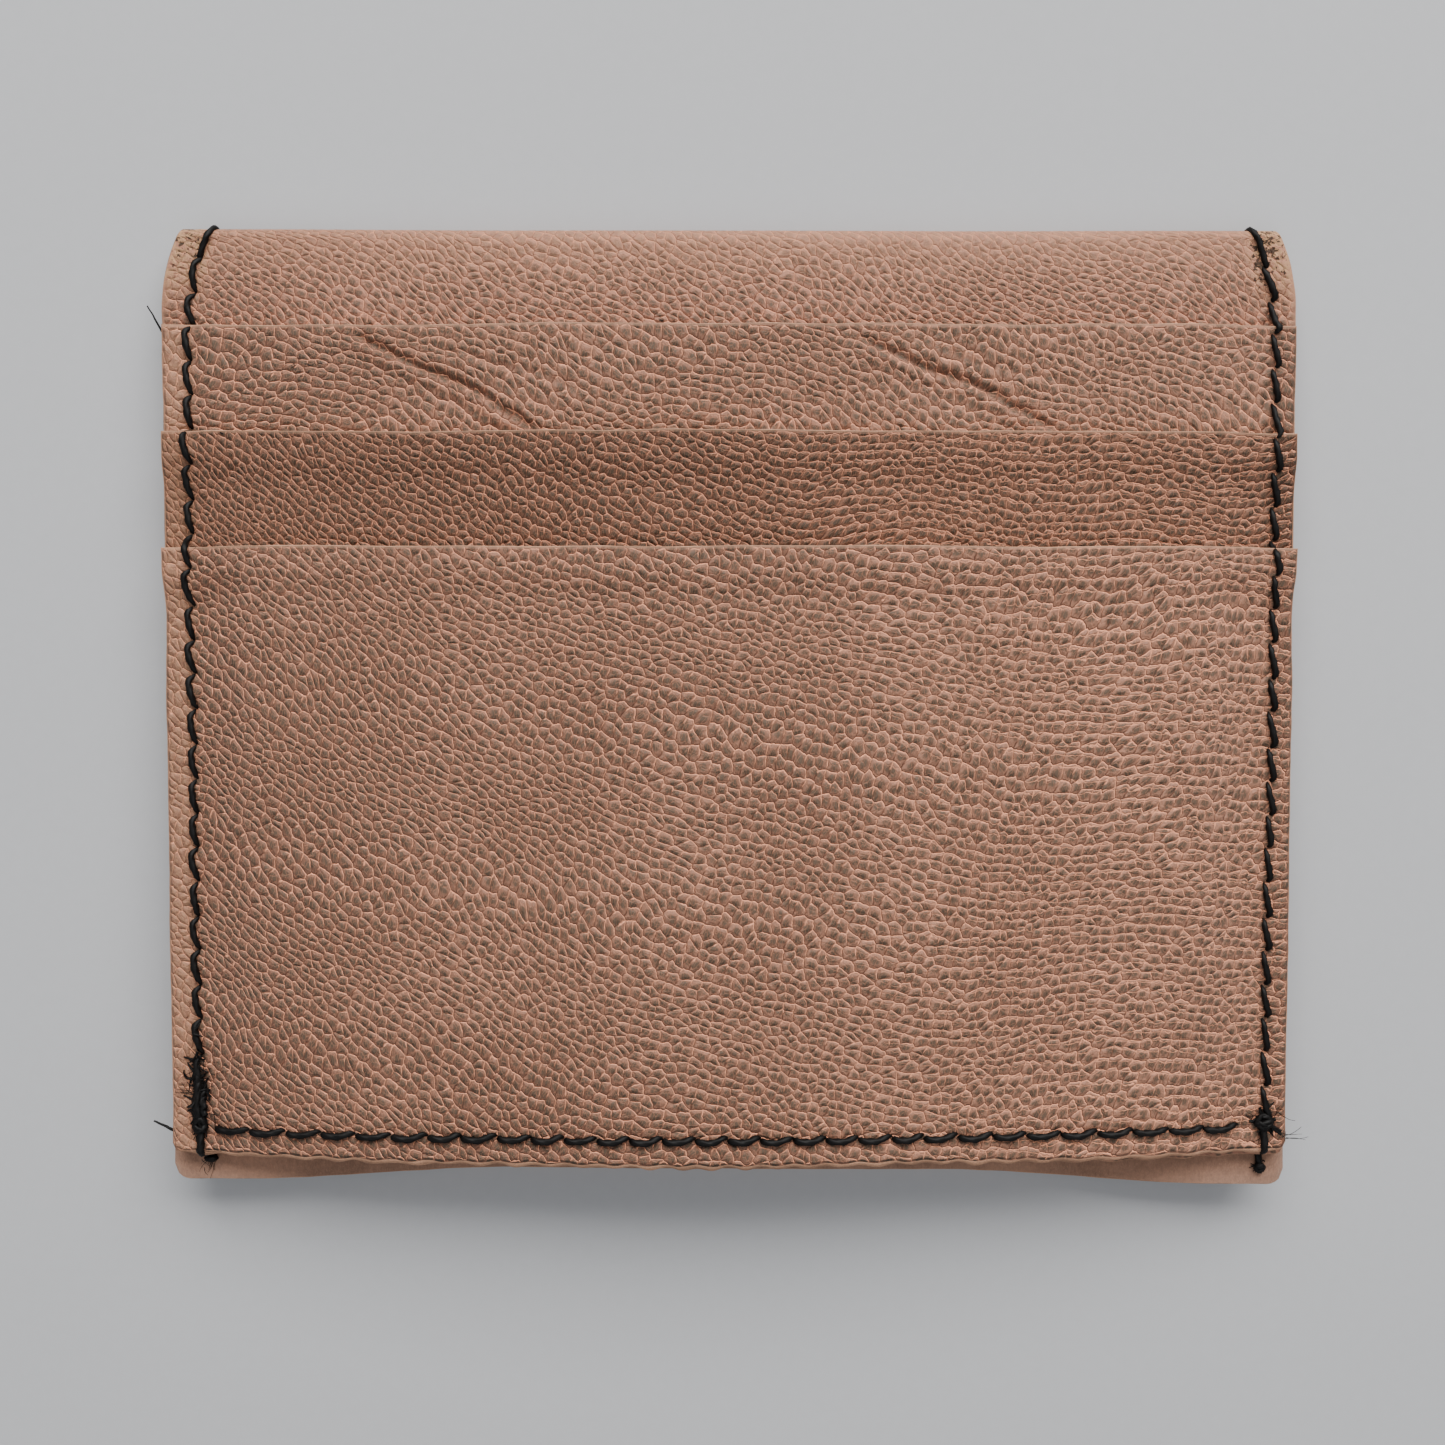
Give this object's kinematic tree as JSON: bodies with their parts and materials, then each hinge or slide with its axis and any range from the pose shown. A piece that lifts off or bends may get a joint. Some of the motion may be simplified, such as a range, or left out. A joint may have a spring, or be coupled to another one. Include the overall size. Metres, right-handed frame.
{
  "type": "card holder",
  "caption": "Slim hand-sewn leather card holder: a folded panel with card slots and a large pocket on its front, and a compartment open at its lower edge.",
  "frame": {"origin": "middle of the outline on the flat of the back, which lies on the table", "axes": "+X across to the right as seen from the front, +Y towards the folded edge, +Z out of the front"},
  "size_m": [0.0998, 0.0854, 0.0102],
  "materials": {
    "body_leather": "natural grain outside, suede inside",
    "pocket_leather": "natural grain outside, suede inside",
    "waxed_thread": "waxed, slightly glossy",
    "fine_thread": "matte"
  },
  "bodies": {
    "root": {"folded_body": "body_leather", "upper_slot_panel": "pocket_leather", "middle_slot_panel": "pocket_leather", "front_pocket_panel": "pocket_leather", "left_seam_thread": "waxed_thread", "right_seam_thread": "waxed_thread", "bottom_seam_thread": "waxed_thread", "upper_slot_seam_thread": "fine_thread", "middle_slot_seam_thread": "fine_thread"}
  },
  "joints": []
}
